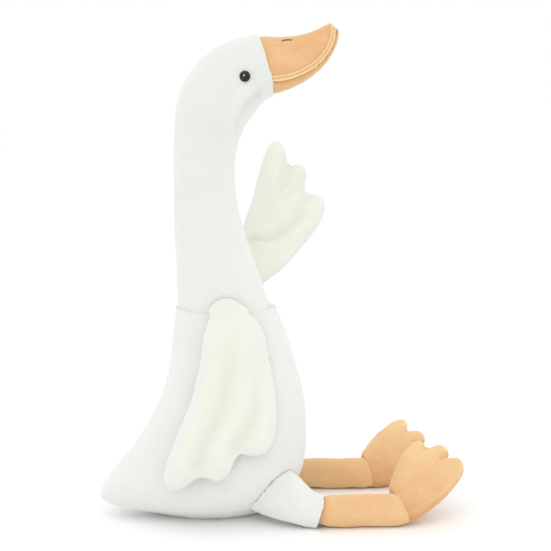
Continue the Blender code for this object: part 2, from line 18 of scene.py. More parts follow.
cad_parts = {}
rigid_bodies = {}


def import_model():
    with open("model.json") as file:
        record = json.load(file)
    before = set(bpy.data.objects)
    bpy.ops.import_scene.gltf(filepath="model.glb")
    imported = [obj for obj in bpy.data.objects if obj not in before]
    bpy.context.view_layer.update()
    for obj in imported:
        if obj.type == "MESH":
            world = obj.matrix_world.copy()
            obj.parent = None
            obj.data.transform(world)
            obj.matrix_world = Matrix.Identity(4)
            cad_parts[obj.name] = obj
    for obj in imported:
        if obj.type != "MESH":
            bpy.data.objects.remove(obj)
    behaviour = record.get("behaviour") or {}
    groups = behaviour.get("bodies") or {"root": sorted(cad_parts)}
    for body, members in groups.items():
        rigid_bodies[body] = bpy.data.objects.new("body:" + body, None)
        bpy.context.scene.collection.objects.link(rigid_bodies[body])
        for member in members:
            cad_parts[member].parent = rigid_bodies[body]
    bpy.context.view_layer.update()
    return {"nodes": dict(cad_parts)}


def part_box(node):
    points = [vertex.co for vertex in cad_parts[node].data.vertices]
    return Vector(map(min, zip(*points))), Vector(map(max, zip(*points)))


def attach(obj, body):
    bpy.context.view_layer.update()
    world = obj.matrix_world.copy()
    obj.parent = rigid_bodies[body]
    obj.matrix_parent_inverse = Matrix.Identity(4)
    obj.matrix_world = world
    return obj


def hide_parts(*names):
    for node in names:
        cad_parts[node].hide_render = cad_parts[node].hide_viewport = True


bl_info = {
    "name": "Stuffed goose",
    "version": (1, 0, 0),
    "blender": (4, 5, 0),
    "location": "3D View > Sidebar > Goose",
    "description": "Dresses a sitting stuffed goose in plush, velvet and stitching",
    "category": "Object",
}

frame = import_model()
NODES = frame["nodes"]

SIDES = {"right": -1.0, "left": 1.0}

# Relief at which the painted light on a ridge, or the painted shade in a crease, is at its full
# strength
PAINTED_SHADING_RELIEF = 0.003

# A fold sharper than this is a seam between two faces of the cloth
SEAM_ANGLE = math.radians(60)

# How near its neighbour a face of a flat end lies that is sewn to it
SEWN_FACE_GAP = 0.0006

# How far off the plane of a flat end its own points can lie
FLAT = 0.00005

# Points nearer than this are one point
WELD = 0.00001

# A point with this freedom or more isn't held at all
LOOSE = 0.99

# Width of a tuft of the velvet's nap
NAP_GRAIN = 0.0012

# The collar, where the neck is sewn to the body: how far apart the two rims may be, how far up and
# down the skins are drawn along, the body's share of the way, and the middle ahead of the origin
COLLAR_REACH = 0.009
COLLAR_FALL = 0.0050
COLLAR_SHARE = 0.48
COLLAR_CENTRE = 0.010


# Properties


class GoosePlush(bpy.types.PropertyGroup):
    """The white plush of the body, neck, head, thighs and wings."""

    white: bpy.props.FloatVectorProperty(
        name="White plush",
        description="Colour of the body, the neck, the head and the thighs",
        subtype="COLOR",
        size=3,
        min=0.0,
        max=1.0,
        default=(0.825, 0.835, 0.795),
    )
    cream: bpy.props.FloatVectorProperty(
        name="Cream plush",
        description="Colour of the wings",
        subtype="COLOR",
        size=3,
        min=0.0,
        max=1.0,
        default=(0.838, 0.850, 0.755),
    )
    pile: bpy.props.FloatProperty(
        name="Pile relief",
        description="How far the tufts of the pile stand out from the skin",
        subtype="DISTANCE",
        unit="LENGTH",
        default=0.00035,
    )
    grain: bpy.props.FloatProperty(
        name="Tuft size",
        description="Width of a tuft of the pile",
        subtype="DISTANCE",
        unit="LENGTH",
        default=0.0022,
    )
    seam: bpy.props.FloatProperty(
        name="Seam depth",
        description="How deep a seam draws the plush in",
        subtype="DISTANCE",
        unit="LENGTH",
        default=0.0008,
    )


class GooseVelvet(bpy.types.PropertyGroup):
    """The tan velvet of the bill, the legs and the feet."""

    tan: bpy.props.FloatVectorProperty(
        name="Tan velvet",
        description="Colour of the bill, the legs and the feet",
        subtype="COLOR",
        size=3,
        min=0.0,
        max=1.0,
        default=(0.815, 0.500, 0.245),
    )
    # Paler tan of the brushed nap, a painted sheen; it is also the base of the painted highlight on
    # the ridges
    pale: bpy.props.FloatVectorProperty(
        name="Brushed nap",
        description="Colour of the nap where it leans away from the light",
        subtype="COLOR",
        size=3,
        min=0.0,
        max=1.0,
        default=(0.845, 0.580, 0.315),
    )
    nap: bpy.props.FloatProperty(
        name="Nap relief",
        description="How far the nap stands out from the velvet",
        subtype="DISTANCE",
        unit="LENGTH",
        default=0.00008,
    )
    stitch: bpy.props.FloatProperty(
        name="Stitch length",
        description="Length of a stitch of the topstitching along the bill",
        subtype="DISTANCE",
        unit="LENGTH",
        default=0.0026,
    )


class GooseStudio(bpy.types.PropertyGroup):
    """The plain pale studio round the goose."""

    floor: bpy.props.FloatVectorProperty(
        name="Floor",
        description="Colour of the floor",
        subtype="COLOR",
        size=3,
        min=0.0,
        max=1.0,
        default=(0.985, 0.985, 0.985),
    )
    sky: bpy.props.FloatProperty(
        name="Room light",
        description="Strength of the even light from all sides",
        default=0.92,
    )
    key: bpy.props.FloatProperty(
        name="Key light",
        description="Strength of the soft lamp above and behind the camera",
        default=0.62,
    )
    fill: bpy.props.FloatProperty(
        name="Fill light",
        description="Strength of the soft lamp ahead of the goose",
        default=0.20,
    )
    catch: bpy.props.FloatProperty(
        name="Catch light",
        description="Power of the lamps that only the eyes mirror, in watts",
        default=34.0,
    )
    distance: bpy.props.FloatProperty(
        name="Camera distance",
        description="How far the camera stands from the goose",
        subtype="DISTANCE",
        unit="LENGTH",
        default=1.3,
    )


# Skins


def collect(piece):
    """Puts a new object in the scene."""
    bpy.context.scene.collection.objects.link(piece)
    return piece


def settle(piece):
    """Makes the modified form of a piece its own mesh."""
    graph = bpy.context.evaluated_depsgraph_get()
    done = bpy.data.meshes.new_from_object(piece.evaluated_get(graph))
    old = piece.data
    piece.modifiers.clear()
    piece.data = done
    done.name = piece.name
    bpy.data.meshes.remove(old)


def points_of(piece):
    """The points of a piece, one in a row."""
    found = np.empty(len(piece.data.vertices) * 3)
    piece.data.vertices.foreach_get("co", found)
    return found.reshape(-1, 3)


def normals_of(piece):
    """The way out of the piece at each of its points."""
    found = np.empty(len(piece.data.vertices) * 3)
    piece.data.vertices.foreach_get("normal", found)
    return found.reshape(-1, 3)


def put_points(piece, points):
    """Moves the points of a piece."""
    piece.data.vertices.foreach_set("co", np.ascontiguousarray(points).ravel())
    piece.data.update()


def push(piece, amounts):
    """Moves each point of a piece out of it, or into it where the amount is negative."""
    put_points(piece, points_of(piece) + normals_of(piece) * amounts[:, None])


def bell(gap, width):
    """1 where there is no gap, falling softly to 0 over about two widths."""
    return np.exp(-((gap / width) ** 2))


def flat_end(node, neighbour):
    """The flat end of a solid that is sewn to a neighbour: a point on it and the way out."""
    tree = surface_of(neighbour)
    faces = NODES[node].data.polygons
    sewn = [face for face in faces if tree.find_nearest(face.center)[3] < SEWN_FACE_GAP]
    largest = max(sewn, key=lambda face: face.area)
    return largest.center.copy(), largest.normal.copy()


def trim(piece, ends, ease=0.0004):
    """Cuts a skin off flat at its sewn ends and closes it there.

    Points within ease of the cut move onto it first, so that it leaves no slivers.
    """
    shape = bmesh.new()
    shape.from_mesh(piece.data)
    for centre, way in ends:
        for vert in shape.verts:
            beyond = (vert.co - centre).dot(way)
            if abs(beyond) < ease:
                vert.co -= way * beyond
        whole = shape.verts[:] + shape.edges[:] + shape.faces[:]
        cut = bmesh.ops.bisect_plane(
            shape, geom=whole, dist=WELD, plane_co=centre, plane_no=way, clear_outer=True
        )
        rim = [part for part in cut["geom_cut"] if isinstance(part, bmesh.types.BMEdge)]
        bmesh.ops.edgeloop_fill(shape, edges=rim)
    shape.to_mesh(piece.data)
    shape.free()


def skin_of(node, name, cell, ends=(), spare=2.5):
    """A new closed skin on the form of a solid, as an even net with cells of one size.

    It reaches a few spare cells past the flat ends that are given, to be trimmed there later.
    """
    mesh = NODES[node].data.copy()
    shape = bmesh.new()
    shape.from_mesh(mesh)
    bmesh.ops.remove_doubles(shape, verts=shape.verts, dist=WELD)
    for centre, way in ends:
        for vert in shape.verts:
            if abs((vert.co - centre).dot(way)) < FLAT:
                vert.co += way * spare * cell
    shape.to_mesh(mesh)
    shape.free()
    mesh.materials.clear()
    piece = collect(bpy.data.objects.new(name, mesh))
    net = piece.modifiers.new("net", "REMESH")
    net.mode = "VOXEL"
    net.voxel_size = cell
    settle(piece)
    return piece


def relax(piece, rounds, free=None):
    """Melts the facets of a net. free says how far each point may go along.

    Each round draws the points together and then lets them out again, so that nothing shrinks.
    """
    points = points_of(piece)
    ends = np.empty(len(piece.data.edges) * 2, np.int64)
    piece.data.edges.foreach_get("vertices", ends)
    ends = ends.reshape(-1, 2)
    one = np.concatenate([ends[:, 0], ends[:, 1]])
    other = np.concatenate([ends[:, 1], ends[:, 0]])
    count = np.bincount(one, minlength=len(points))[:, None]
    share = np.ones(len(points)) if free is None else free
    for _ in range(rounds):
        for pull in (0.60, -0.62):
            around = np.stack(
                [np.bincount(one, points[other, axis], len(points)) for axis in range(3)],
                axis=1,
            )
            points = points + (around / count - points) * (pull * share)[:, None]
    put_points(piece, points)


def refine(piece, levels=1):
    """Divides the net of a piece and rounds it."""
    fine = piece.modifiers.new("fine", "SUBSURF")
    fine.levels = levels
    fine.render_levels = levels
    settle(piece)


def stuff(piece, free, travel, pressure=4.0, shrink=0.0004, steps=20):
    """Swells a skin with its filling. Points with no freedom stay, as at a sewn seam."""
    start = points_of(piece)
    push(piece, -shrink * free)
    sewn = piece.vertex_groups.new(name="sewn")
    for index, loose in enumerate(free):
        if loose < LOOSE:
            sewn.add([index], float(1.0 - loose), "REPLACE")
    cloth = piece.modifiers.new("filling", "CLOTH")
    cloth.settings.use_pressure = True
    cloth.settings.uniform_pressure_force = pressure
    cloth.settings.effector_weights.gravity = 0.0
    cloth.settings.quality = 4
    cloth.settings.mass = 0.2
    cloth.settings.tension_stiffness = 6.0
    cloth.settings.compression_stiffness = 6.0
    cloth.settings.bending_stiffness = 0.4
    cloth.settings.vertex_group_mass = "sewn"
    cloth.collision_settings.use_collision = False
    cloth.point_cache.frame_start = 1
    cloth.point_cache.frame_end = steps
    for step in range(1, steps + 1):
        bpy.context.scene.frame_set(step)
    settle(piece)
    bpy.context.scene.frame_set(1)
    piece.vertex_groups.clear()
    moved = points_of(piece) - start
    length = np.linalg.norm(moved, axis=1)
    keep = np.minimum(1.0, travel / np.maximum(length, 1e-9))
    put_points(piece, start + moved * keep[:, None])


# Neighbours


def box_middle(node):
    """The middle of the box round a solid."""
    low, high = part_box(node)
    return (low + high) / 2


def surface_of(node):
    """The surface of a solid, to measure from."""
    shape = bmesh.new()
    shape.from_mesh(NODES[node].data)
    tree = BVHTree.FromBMesh(shape)
    shape.free()
    return tree


def reach_to(piece, *nodes):
    """How far each point of a piece is from the nearest of some neighbours."""
    trees = [surface_of(node) for node in nodes]
    points = [Vector(point) for point in points_of(piece)]
    return np.array([min(tree.find_nearest(point)[3] for tree in trees) for point in points])


def corners_along(node, turn=math.radians(50), step=0.0004):
    """Points close together along the sharp edges of a solid, where its seams end."""
    shape = bmesh.new()
    shape.from_mesh(NODES[node].data)
    bmesh.ops.remove_doubles(shape, verts=shape.verts, dist=WELD)
    found = []
    for edge in shape.edges:
        if len(edge.link_faces) == 2 and edge.calc_face_angle() > turn:
            near, far = (vert.co.copy() for vert in edge.verts)
            count = max(1, int(edge.calc_length() / step))
            found += [near.lerp(far, part / count) for part in range(count + 1)]
    shape.free()
    return found


def tree_of(points):
    """Points in a tree, to measure from."""
    tree = KDTree(len(points))
    for index, point in enumerate(points):
        tree.insert(point, index)
    tree.balance()
    return tree


def hold(piece, node, free, cell):
    """Draws a skin back to its solid where it isn't free, so that its seams stay crisp."""
    tree = surface_of(node)
    corners = tree_of(corners_along(node))
    points = points_of(piece)
    for index in np.nonzero(free < LOOSE)[0]:
        near = tree.find_nearest(Vector(points[index]))[0]
        corner, _, gap = corners.find(near)
        if gap < 0.75 * cell:
            near = corner
        points[index] += (np.array(near) - points[index]) * (1.0 - free[index])
    put_points(piece, points)


def crisp(piece, node, gap, cell, fade=0.0030, swell=0.0002, width=0.0010):
    """Draws the last few millimetres at a seam back to the solid once a net is fine."""
    hold(piece, node, freedom(gap, fade), cell / 2)
    push(piece, swell * bell(gap, width))


def seam_corners(node, neighbour, reach=0.003):
    """The points along the sharp edges of a solid within reach of a neighbour, to measure from."""
    tree = surface_of(neighbour)
    return tree_of([spot for spot in corners_along(node) if tree.find_nearest(spot)[3] < reach])


def meet(piece, node, neighbour, reach, fall, share=0.5, rim=True):
    """Brings the rim of a skin toward the neighbour's rim or surface, as at a sewn seam."""
    own = seam_corners(node, neighbour)
    if rim:
        nearest = seam_corners(neighbour, node, reach).find
    else:
        nearest = surface_of(neighbour).find_nearest
    points = points_of(piece)
    for index, point in enumerate(points):
        corner, _, gap = own.find(Vector(point))
        if gap < 3.0 * fall:
            across = nearest(corner)[0] - corner
            if across.length < reach:
                points[index] += np.array(across) * (share * bell(gap, fall))
    put_points(piece, points)


def skirt(piece, node, neighbour, way, fall=0.0016):
    """Draws the rim of a skin out over the edge of its neighbour."""
    own = seam_corners(node, neighbour)
    gap = np.array([own.find(Vector(point))[2] for point in points_of(piece)])
    put_points(piece, points_of(piece) + bell(gap, fall)[:, None] * np.array(way))


def freedom(gap, reach):
    """0 at a seam, rising to 1 where the seam no longer holds the skin."""
    share = np.clip(gap / reach, 0.0, 1.0)
    return share * share * (3.0 - 2.0 * share)


# Folds, seams and pile


def smooth_line(line, rounds=3):
    """A line through corners made a soft curve."""
    points = [Vector(point) for point in line]
    for _ in range(rounds):
        cut = [points[0]]
        for near, far in zip(points, points[1:]):
            cut += [near.lerp(far, 0.25), near.lerp(far, 0.75)]
        points = cut + [points[-1]]
    return points


def from_side(piece, line, side, outside=0.4, inside=0.03):
    """Where a line drawn on a side view, as (ahead, up) points, lies on a piece.

    Each point is looked for from outside. One that misses the piece goes to the nearest spot on it.
    """
    tree = BVHTree.FromObject(piece, bpy.context.evaluated_depsgraph_get())
    found = []
    for ahead, up in line:
        start = Vector((ahead, side * outside, up))
        hit = tree.ray_cast(start, Vector((0.0, -side, 0.0)))[0]
        if hit is None:
            hit = tree.find_nearest(Vector((ahead, side * inside, up)))[0]
        found.append(hit)
    return smooth_line(found)


def line_reach(points, line):
    """How far each point is from a line, and its share of the way along it."""
    corners = np.array([tuple(corner) for corner in line])
    best = np.full(len(points), np.inf)
    along = np.zeros(len(points))
    start = 0.0
    for near, far in zip(corners, corners[1:]):
        way = far - near
        span = float(np.linalg.norm(way))
        share = np.clip(((points - near) @ way) / (span * span), 0.0, 1.0)
        gap = np.linalg.norm(points - near - share[:, None] * way, axis=1)
        closer = gap < best
        best[closer] = gap[closer]
        along[closer] = start + share[closer] * span
        start += span
    return best, along / start


def shade(piece, amounts, kind="tone"):
    """Adds to how pale (above 0) or dark (below 0) the pile looks at each point; on the tone layer
    this is mostly painted light on ridges and painted shade in creases and hollows.
    """
    mesh = piece.data
    layer = mesh.attributes.get(kind) or mesh.attributes.new(kind, "FLOAT", "POINT")
    held = np.empty(len(mesh.vertices))
    layer.data.foreach_get("value", held)
    layer.data.foreach_set("value", held + amounts)


def crease(piece, line, width, depth, start=1.0, end=1.0):
    """Draws a piece in along a line, or lifts it where the depth is negative, with painted shade in
    the crease or painted light on the lifted ridge.
    """
    gap, along = line_reach(points_of(piece), line)
    strength = start + (end - start) * along
    amount = -depth * strength * bell(gap, width)
    push(piece, amount)
    # Painted shade in the crease, painted light on a lifted ridge
    shade(piece, amount / PAINTED_SHADING_RELIEF)


def fold(piece, line, side, width, depth, start=1.0, end=1.0):
    """Creases a piece along a line that is drawn on a side view."""
    crease(piece, from_side(piece, line, side), width, depth, start, end)


def midline_seam(piece, depth, width=0.0022):
    """A sewn seam all round a piece, in the goose's plane of symmetry."""
    push(piece, -depth * bell(points_of(piece)[:, 1], width))


def puckers(piece, gap, height, length, count, centre):
    """Small gathers that run out of a seam, count of them round the goose's upright axis."""
    points = points_of(piece)
    turn = np.arctan2(points[:, 1], points[:, 0] - centre)
    wave = np.sin(turn * count) + 0.6 * np.sin(turn * count * 0.62 + 1.0)
    push(piece, height * wave * np.exp(-gap / length))


def flat_axes(piece):
    """The middle of a flat stuffed piece, and its long, middle and short ways."""
    points = points_of(piece)
    middle = points.mean(axis=0)
    _, ways = np.linalg.eigh(np.cov((points - middle).T))
    return middle, ways[:, 2], ways[:, 1], ways[:, 0]


def facing(piece):
    """0 at the rim of a flat stuffed piece, rising to 1 on its two faces."""
    return np.abs(normals_of(piece) @ flat_axes(piece)[3])


def rim_seam(piece, depth, width, pale=0.25, inside=0.35, band=0.20):
    """A seam round the edge of a flat stuffed piece, with a pale band of painted sheen just inside
    it.
    """
    tilt = facing(piece)
    push(piece, -depth * bell(tilt, width))
    # Painted sheen: a pale band just inside the seam
    shade(piece, pale * bell(tilt - inside, band))


def fade_rim(piece, reach, haste=0.6):
    """Lets the colour of a flat stuffed piece fade toward its rim."""
    shade(piece, np.clip((1.0 - facing(piece)) / reach, 0.0, 1.0) ** haste, "rim")


def lumps(piece, layers):
    """Lets the filling swell unevenly. A layer is the width and height of its lumps, and a seed."""
    for size, height, seed in layers:
        shift = Vector((seed, 2.0 * seed, -seed))
        amounts = [noise.noise(Vector(point) / size + shift) for point in points_of(piece)]
        push(piece, height * np.array(amounts))


def grow_pile(piece, height, grain, fall=2.0):
    """Raises the tufts of the pile. They are longer down the goose than across it."""
    tufts = []
    for x, y, z in points_of(piece):
        place = Vector((x / grain, y / grain, z / (grain * fall)))
        tufts.append(noise.noise(place) + 0.5 * noise.noise(place * 2.1))
    push(piece, height * np.array(tufts))


def finish_skin(piece, node, surface):
    """Gives a stuffed piece its material and its place in the goose."""
    piece.data.materials.clear()
    piece.data.materials.append(surface)
    piece.data.shade_smooth()
    piece.data.set_sharp_from_angle(angle=SEAM_ANGLE)
    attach(piece, "root")
    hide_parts(node)


# Materials


def new_material(name):
    """A material with its shader and its Object coordinates."""
    made = bpy.data.materials.new(name)
    made.use_nodes = True
    tree = made.node_tree
    shader = tree.nodes["Principled BSDF"]
    place = tree.nodes.new("ShaderNodeTexCoord")
    return made, tree, shader, place.outputs["Object"]


def noise_node(tree, place, scale, detail, stretch=(1.0, 1.0, 1.0)):
    """A noise pattern on the goose's own coordinates."""
    turn = tree.nodes.new("ShaderNodeMapping")
    turn.inputs["Scale"].default_value = stretch
    tree.links.new(place, turn.inputs["Vector"])
    made = tree.nodes.new("ShaderNodeTexNoise")
    made.inputs["Scale"].default_value = scale
    made.inputs["Detail"].default_value = detail
    tree.links.new(turn.outputs["Vector"], made.inputs["Vector"])
    return made.outputs["Fac"]


def shared(recipe):
    """Makes a material for the first piece that asks for its name, and shares it with the rest."""

    def find_or_make(name, *colours):
        return bpy.data.materials.get(name) or recipe(name, *map(np.array, colours))

    return find_or_make


def blend_node(tree, share, first, second, low, high):
    """Two colours, blended by a pattern between two of its values."""
    ramp = tree.nodes.new("ShaderNodeMapRange")
    ramp.inputs["From Min"].default_value = low
    ramp.inputs["From Max"].default_value = high
    tree.links.new(share, ramp.inputs["Value"])
    mix = tree.nodes.new("ShaderNodeMix")
    mix.data_type = "RGBA"
    tree.links.new(ramp.outputs["Result"], mix.inputs["Factor"])
    for target in (entry for entry in mix.inputs if entry.type == "RGBA"):
        colour = {"A": first, "B": second}[target.name]
        if isinstance(colour, bpy.types.NodeSocket):
            tree.links.new(colour, target)
        else:
            target.default_value = (*colour, 1.0)
    return next(entry for entry in mix.outputs if entry.type == "RGBA")


def bump_node(tree, shader, height, strength, distance):
    """Relief on the shader from a pattern."""
    bump = tree.nodes.new("ShaderNodeBump")
    bump.inputs["Strength"].default_value = strength
    bump.inputs["Distance"].default_value = distance
    tree.links.new(height, bump.inputs["Height"])
    tree.links.new(bump.outputs["Normal"], shader.inputs["Normal"])


def drawn_on(tree, kind):
    """What shade wrote on the points of a piece."""
    made = tree.nodes.new("ShaderNodeAttribute")
    made.attribute_name = kind
    return made.outputs["Fac"]


def tone_node(tree, colour, painted_shade, pale):
    """A colour made darker or paler by the tone layer: painted shade in the creases of a piece and
    painted light on its ridges.
    """
    tone = drawn_on(tree, "tone")
    low = blend_node(tree, tone, painted_shade, colour, -1.0, 0.0)
    return blend_node(tree, tone, low, pale, 0.0, 1.0)


@shared
def plush(name, colour, rim):
    """Short soft pile: pale, dull and a little uneven, with painted shade in its creases and
    painted light on its ridges, fading to another colour at a rim.
    """
    made, tree, shader, place = new_material(name)
    patches = noise_node(tree, place, scale=22.0, detail=2.0)
    tufts = noise_node(tree, place, scale=420.0, detail=3.0, stretch=(1.0, 1.0, 0.5))
    broad = blend_node(tree, patches, colour * 0.985, colour, low=0.35, high=0.60)
    fine = blend_node(tree, tufts, colour * 0.965, broad, low=0.25, high=0.50)
    # Colours of the painted shade in the creases and the painted light on the ridges
    painted_shade = colour * (0.90, 0.89, 0.87)
    pale = np.minimum(0.93, colour * 1.06)
    toned = tone_node(tree, fine, painted_shade, pale)
    faded = blend_node(tree, drawn_on(tree, "rim"), toned, rim, low=0.0, high=1.0)
    tree.links.new(faded, shader.inputs["Base Color"])
    bump_node(tree, shader, tufts, strength=0.35, distance=0.0010)
    shader.inputs["Roughness"].default_value = 0.95
    shader.inputs["Diffuse Roughness"].default_value = 0.8
    shader.inputs["Specular IOR Level"].default_value = 0.1
    shader.inputs["Sheen Weight"].default_value = 0.25
    shader.inputs["Sheen Roughness"].default_value = 0.6
    return made


@shared
def velvet(name, colour, pale):
    """A dense short nap: even, with brushed patches whose paler look is a painted sheen, painted
    shade in its grooves and painted light on its ridges and edges.
    """
    made, tree, shader, place = new_material(name)
    brushed = noise_node(tree, place, scale=34.0, detail=3.0, stretch=(1.0, 1.0, 1.6))
    nap = noise_node(tree, place, scale=900.0, detail=2.0)
    # Brushed patches: the nap's lean is real, the paler tan there is a painted sheen
    broad = blend_node(tree, brushed, colour, pale, low=0.38, high=0.68)
    fine = blend_node(tree, nap, colour * 0.90, broad, low=0.20, high=0.50)
    # Colours of the painted shade in the grooves and the painted highlight on the ridges
    groove = colour * (0.80, 0.70, 0.60)
    ridge = pale * (1.05, 1.18, 1.25)
    tree.links.new(tone_node(tree, fine, groove, ridge), shader.inputs["Base Color"])
    bump_node(tree, shader, nap, strength=0.20, distance=0.0004)
    shader.inputs["Roughness"].default_value = 0.85
    shader.inputs["Diffuse Roughness"].default_value = 0.6
    shader.inputs["Specular IOR Level"].default_value = 0.15
    shader.inputs["Sheen Weight"].default_value = 0.45
    shader.inputs["Sheen Roughness"].default_value = 0.35
    shader.inputs["Sheen Tint"].default_value = (1.0, 0.90, 0.76, 1.0)
    return made


@shared
def thread(name, colour):
    """Sewing thread, with its twist."""
    made, tree, shader, place = new_material(name)
    twist = noise_node(tree, place, scale=1500.0, detail=1.0)
    fine = blend_node(tree, twist, colour * 0.8, colour, low=0.35, high=0.60)
    tree.links.new(fine, shader.inputs["Base Color"])
    shader.inputs["Roughness"].default_value = 0.6
    return made


@shared
def paper(name, colour):
    """Matt studio paper, with a faint grain."""
    made, tree, shader, place = new_material(name)
    grain = noise_node(tree, place, scale=60.0, detail=2.0)
    fine = blend_node(tree, grain, colour * 0.995, colour, low=0.4, high=0.6)
    tree.links.new(fine, shader.inputs["Base Color"])
    shader.inputs["Roughness"].default_value = 0.9
    shader.inputs["Specular IOR Level"].default_value = 0.0
    return made


@shared
def gloss(name, colour):
    """Polished moulded plastic, with the faint swirl of its moulding."""
    made, tree, shader, place = new_material(name)
    swirl = noise_node(tree, place, scale=300.0, detail=1.0)
    fine = blend_node(tree, swirl, colour, colour * 1.6 + 0.002, low=0.4, high=0.7)
    tree.links.new(fine, shader.inputs["Base Color"])
    shader.inputs["Roughness"].default_value = 0.06
    shader.inputs["Specular IOR Level"].default_value = 0.35
    return made


# Pieces


def plush_settings():
    """The settings of the white and cream plush."""
    return bpy.context.scene.goose_plush


def velvet_settings():
    """The settings of the tan velvet."""
    return bpy.context.scene.goose_velvet


def white_plush():
    """The plush of the body, the neck, the head and the thighs."""
    white = plush_settings().white
    return plush("white_plush_pile", white, white)


def cream_plush():
    """The plush of the wings, which fades to white at their rims."""
    settings = plush_settings()
    return plush("cream_plush_pile", settings.cream, settings.white)


def tan_velvet():
    """The velvet of the bill, the legs and the feet."""
    settings = velvet_settings()
    return velvet("tan_velvet_nap", settings.tan, settings.pale)


class GOOSE_OT_body(bpy.types.Operator):
    """Makes the body: one plump skin, sewn shut down the back and the chest."""

    bl_idname = "goose.body"
    bl_label = "Body"

    CELL = 0.0032
    # How far from the seat and from the collar the filling is held back
    HELD = 0.008
    LUMPS = ((0.045, 0.0014, 3.0), (0.018, 0.0005, 7.0))

    def execute(self, context):
        settings = plush_settings()
        low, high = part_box("body")
        ends = [flat_end("body", "neck_and_head")]
        piece = skin_of("body", "body_plush", self.CELL, ends)
        up = points_of(piece)[:, 2]
        free = freedom(np.minimum(up - low.z, high.z - up), self.HELD)
        relax(piece, 8)
        stuff(piece, free, travel=0.003)
        relax(piece, 2, free)
        refine(piece)
        lumps(piece, self.LUMPS)
        trim(piece, ends)
        meet(piece, "body", "neck_and_head", COLLAR_REACH, COLLAR_FALL, COLLAR_SHARE)
        gap = reach_to(piece, "neck_and_head", "thigh_right", "thigh_left")
        puckers(piece, gap, height=0.00025, length=0.010, count=34.0, centre=COLLAR_CENTRE)
        midline_seam(piece, settings.seam)
        grow_pile(piece, settings.pile, settings.grain)
        finish_skin(piece, "body", white_plush())
        return {"FINISHED"}


class GOOSE_OT_neck_and_head(bpy.types.Operator):
    """Makes the neck and the head: one skin, folded softly behind the cheeks."""

    bl_idname = "goose.neck_and_head"
    bl_label = "Neck and head"

    CELL = 0.0028
    # How far from the collar and from the bill the filling is held back
    HELD = 0.007
    LUMPS = ((0.040, 0.0012, 11.0), (0.016, 0.0004, 5.0))
    # How far the pile laps over the seam with the body, and over the one with the bill
    COLLAR_LAP = 0.0008
    FACE_LAP = 0.0010
    # Fold behind the cheek and the roll behind that, as (ahead, up) on the side view
    JAW_FOLD = ((0.040, 0.422), (0.031, 0.416), (0.025, 0.408), (0.021, 0.399), (0.019, 0.388))
    JAW_ROLL = ((0.027, 0.425), (0.021, 0.417), (0.017, 0.408), (0.014, 0.396))

    def fold_jaw(self, piece, side):
        """Folds one side of the head in behind the cheek, and rolls the neck out behind that, with
        painted shade in the fold and painted light on the roll.
        """
        fold(piece, self.JAW_FOLD, side, width=0.0062, depth=0.0026, start=1.0, end=0.4)
        fold(piece, self.JAW_ROLL, side, width=0.0065, depth=-0.0018, start=1.0, end=0.5)

    def execute(self, context):
        settings = plush_settings()
        node = "neck_and_head"
        collar = flat_end(node, "body")
        face = flat_end(node, "bill_upper")
        piece = skin_of(node, "neck_and_head_plush", self.CELL, (collar, face))
        free = freedom(reach_to(piece, "body", "bill_upper", "bill_lower"), self.HELD)
        relax(piece, 8)
        stuff(piece, free, travel=0.0025)
        relax(piece, 2, free)
        refine(piece)
        lumps(piece, self.LUMPS)
        for side in SIDES.values():
            self.fold_jaw(piece, side)
        trim(piece, (collar, face))
        meet(piece, node, "body", COLLAR_REACH, COLLAR_FALL, 1.0 - COLLAR_SHARE)
        skirt(piece, node, "body", collar[1] * self.COLLAR_LAP)
        skirt(piece, node, "bill_upper", face[1] * self.FACE_LAP)
        gap = reach_to(piece, "body")
        puckers(piece, gap, height=0.00025, length=0.008, count=31.0, centre=COLLAR_CENTRE)
        midline_seam(piece, settings.seam)
        grow_pile(piece, settings.pile, settings.grain)
        finish_skin(piece, node, white_plush())
        return {"FINISHED"}


